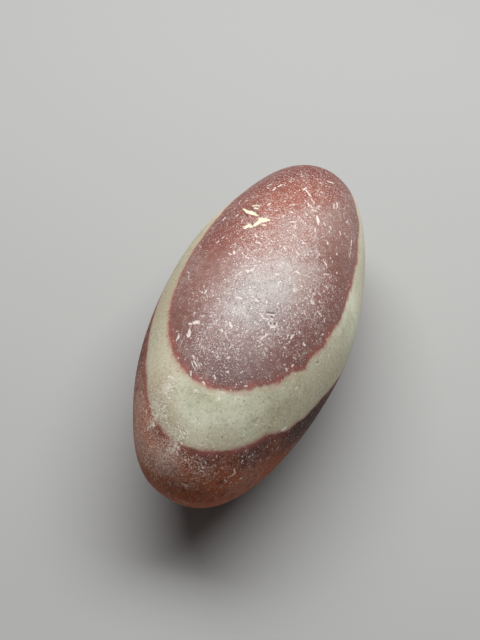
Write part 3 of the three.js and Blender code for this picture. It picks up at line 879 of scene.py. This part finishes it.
shaken = wire.warped(at, 0.6, 0.5)
finest = wire.times(share, wire.ease(base, 0.0, 1.0, *FINEST_ON_CAP_AND_BASE))
coarse = wire.times(share, 0.25)
specks = wire.most(
    wire.times(wire.grains(shaken, size=0.42, share=finest, radius=0.28), 0.9),
    wire.times(wire.grains(at, size=0.32, share=finest, radius=0.32), 0.7),
    wire.curls(at, size=0.65, share=wire.times(share, 0.85), breadth=0.055),
    wire.times(wire.curls(shaken, size=0.4, share=wire.times(share, 0.75), breadth=0.07), 0.8),
    wire.times(wire.grains(wire.warped(at, 0.7, 0.9), size=1.6, share=coarse, radius=0.17), 0.9),
    wire.times(wire.grains(wire.warped(at, 0.7, 0.6), size=3.2, share=0.3, radius=0.07), 0.8),
)
specks = wire.times(specks, wire.ease(wire.noise(at, 1.6, detail=1.0), *LOW_SWING, *SPECK_STRENGTH))
speck_white = wire.mix(base, SPECK_WHITE, SPECK_WHITE_ON_BASE)
skin = wire.mix(wire.times(specks, SPECK_COVER), skin, speck_white)

# Fine dark pores lie over the whole skin, and more of them among the specks.
PORE_BROWN = tint(84, 58, 50)
PORE_COVER = 0.65

pores = wire.most(
    wire.grains(wire.warped(at, 0.6, 0.4), size=1.3, share=0.3, radius=0.18),
    wire.grains(at, size=0.45, share=share, radius=0.3),
)
skin = wire.mix(wire.times(pores, PORE_COVER), skin, PORE_BROWN)

# The dust catches on the tops of the grains; then come the bruises, the dark scratches and
# pores, among them one stroke of painted shade, and the chips, each with a crumbled edge.
DUST_CREAM = tint(228, 222, 200)
BRUISE_WHITE = tint(244, 232, 224)
SCRATCH_AND_SHADE_BROWN = tint(72, 50, 42)
CHIP_CREAM = tint(240, 230, 202)
DUST_COVER = 0.6
BRUISE_COVER = 0.82
SCRATCH_AND_SHADE_COVER = 0.9
CRUMBLING = 1.4
BRUISE_EDGE = (0.15, 0.8)
SCRATCH_AND_SHADE_EDGE = (0.1, 0.9)
CHIP_EDGE = (0.3, 0.6)
DUSTY = (0.74, 1.0)

dusty = wire.times(wire.ease(wire.total(wire.times(dust, 0.5), grainy), *DUSTY), wire.ease(dust, 0.0, 0.5))
skin = wire.mix(wire.times(dusty, DUST_COVER), skin, DUST_CREAM)
crumbled = wire.times(wire.centred(wire.noise(at, 0.45, detail=2.0, roughness=0.6)), CRUMBLING)
slightly_crumbled = wire.times(crumbled, 0.4)
bruised = wire.ease(wire.total(wire.measured("pale_mark"), crumbled), *BRUISE_EDGE)
scratched_and_shaded = wire.ease(wire.total(wire.measured("dark_mark"), slightly_crumbled), *SCRATCH_AND_SHADE_EDGE)
chipped = wire.ease(wire.total(wire.measured("chip"), crumbled), *CHIP_EDGE)
skin = wire.mix(wire.times(bruised, BRUISE_COVER), skin, BRUISE_WHITE)
skin = wire.mix(wire.times(scratched_and_shaded, SCRATCH_AND_SHADE_COVER), skin, SCRATCH_AND_SHADE_BROWN)
skin = wire.mix(chipped, skin, CHIP_CREAM)
wire.feed(shader.inputs["Base Color"], skin)

# The cap keeps the highest polish, the band less, the base the least. Every break is rougher.
SHEEN = 0.65
CAP_ROUGHNESS = 0.44
BAND_ROUGHER = 0.16
BASE_ROUGHER = 0.41
SPECKS_ROUGHER = 0.1
BRUISES_ROUGHER = 0.2
BREAKS_ROUGHER = 0.3

shader.inputs["Specular IOR Level"].default_value = SHEEN
roughness = wire.total(
    CAP_ROUGHNESS,
    wire.times(band, BAND_ROUGHER),
    wire.times(base, BASE_ROUGHER),
    wire.times(specks, SPECKS_ROUGHER),
    wire.times(pores, BREAKS_ROUGHER),
    wire.times(chipped, BREAKS_ROUGHER),
    wire.times(bruised, BRUISES_ROUGHER),
)
wire.feed(shader.inputs["Roughness"], roughness)

# The grain stands up and the breaks lie lower, by these heights in millimetres.
GRAIN_HEIGHT = 0.03
SPECK_HEIGHT = -0.04
CHIP_HEIGHT = -0.06
PORE_HEIGHT = -0.03

height = wire.total(
    wire.times(grainy, GRAIN_HEIGHT),
    wire.times(specks, SPECK_HEIGHT),
    wire.times(chipped, CHIP_HEIGHT),
    wire.times(pores, PORE_HEIGHT),
)
bump = wire.node("ShaderNodeBump", {"Height": height, "Strength": 1.0, "Distance": MM})["Normal"]
wire.feed(shader.inputs["Normal"], bump)

stone_mesh.materials.append(banded_quartz)
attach(river_stone, "root")
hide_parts("stone")

# ---------------------------------------------------------------------------------------------
# The studio. A plain pale floor under the stone, one soft lamp above it and towards its pointed
# end, and an even pale surround. The camera stands over the blunted end and looks down.
# ---------------------------------------------------------------------------------------------

FLOOR_HALF = 2.5
FLOOR_GREY = tint(170, 170, 168)
FLOOR_ROUGHNESS = 0.8

bpy.ops.mesh.primitive_plane_add(size=2 * FLOOR_HALF, location=(0, 0, 0))
floor = bpy.context.object
floor.name = "floor"
floor_paint = bpy.data.materials.new("pale_floor")
floor_paint.use_nodes = True
floor_shader = floor_paint.node_tree.nodes["Principled BSDF"]
floor_shader.inputs["Base Color"].default_value = FLOOR_GREY
floor_shader.inputs["Roughness"].default_value = FLOOR_ROUGHNESS
floor.data.materials.append(floor_paint)

LAMP_ELEVATION = math.radians(64)
LAMP_HEADING = math.radians(8)
LAMP_DISTANCE = 0.6
LAMP_LENGTH = 0.3
LAMP_BREADTH = 0.9
LAMP_WATTS = 6.4

lamp_direction = direction(LAMP_ELEVATION, LAMP_HEADING)
lamp_place = Vector(STONE_MIDDLE) + lamp_direction * LAMP_DISTANCE
bpy.ops.object.light_add(
    type="AREA", location=lamp_place, rotation=lamp_direction.to_track_quat("Z", "Y").to_euler()
)
lamp = bpy.context.object.data
lamp.shape = "RECTANGLE"
lamp.size = LAMP_BREADTH
lamp.size_y = LAMP_LENGTH
lamp.energy = LAMP_WATTS

SURROUND_WHITE = tint(235, 238, 242)
SURROUND_STRENGTH = 0.09

surround = bpy.data.worlds.new("surround")
surround.use_nodes = True
sky = surround.node_tree.nodes["Background"]
sky.inputs["Color"].default_value = SURROUND_WHITE
sky.inputs["Strength"].default_value = SURROUND_STRENGTH
bpy.context.scene.world = surround
bpy.context.scene.view_settings.view_transform = "Standard"

NEAREST_SEEN = 0.01

bpy.ops.object.camera_add(location=viewpoint, rotation=sight.to_track_quat("-Z", "Y").to_euler())
camera = bpy.context.object
camera.data.lens = LENS
camera.data.sensor_width = SENSOR
camera.data.clip_start = NEAREST_SEEN
bpy.context.scene.camera = camera
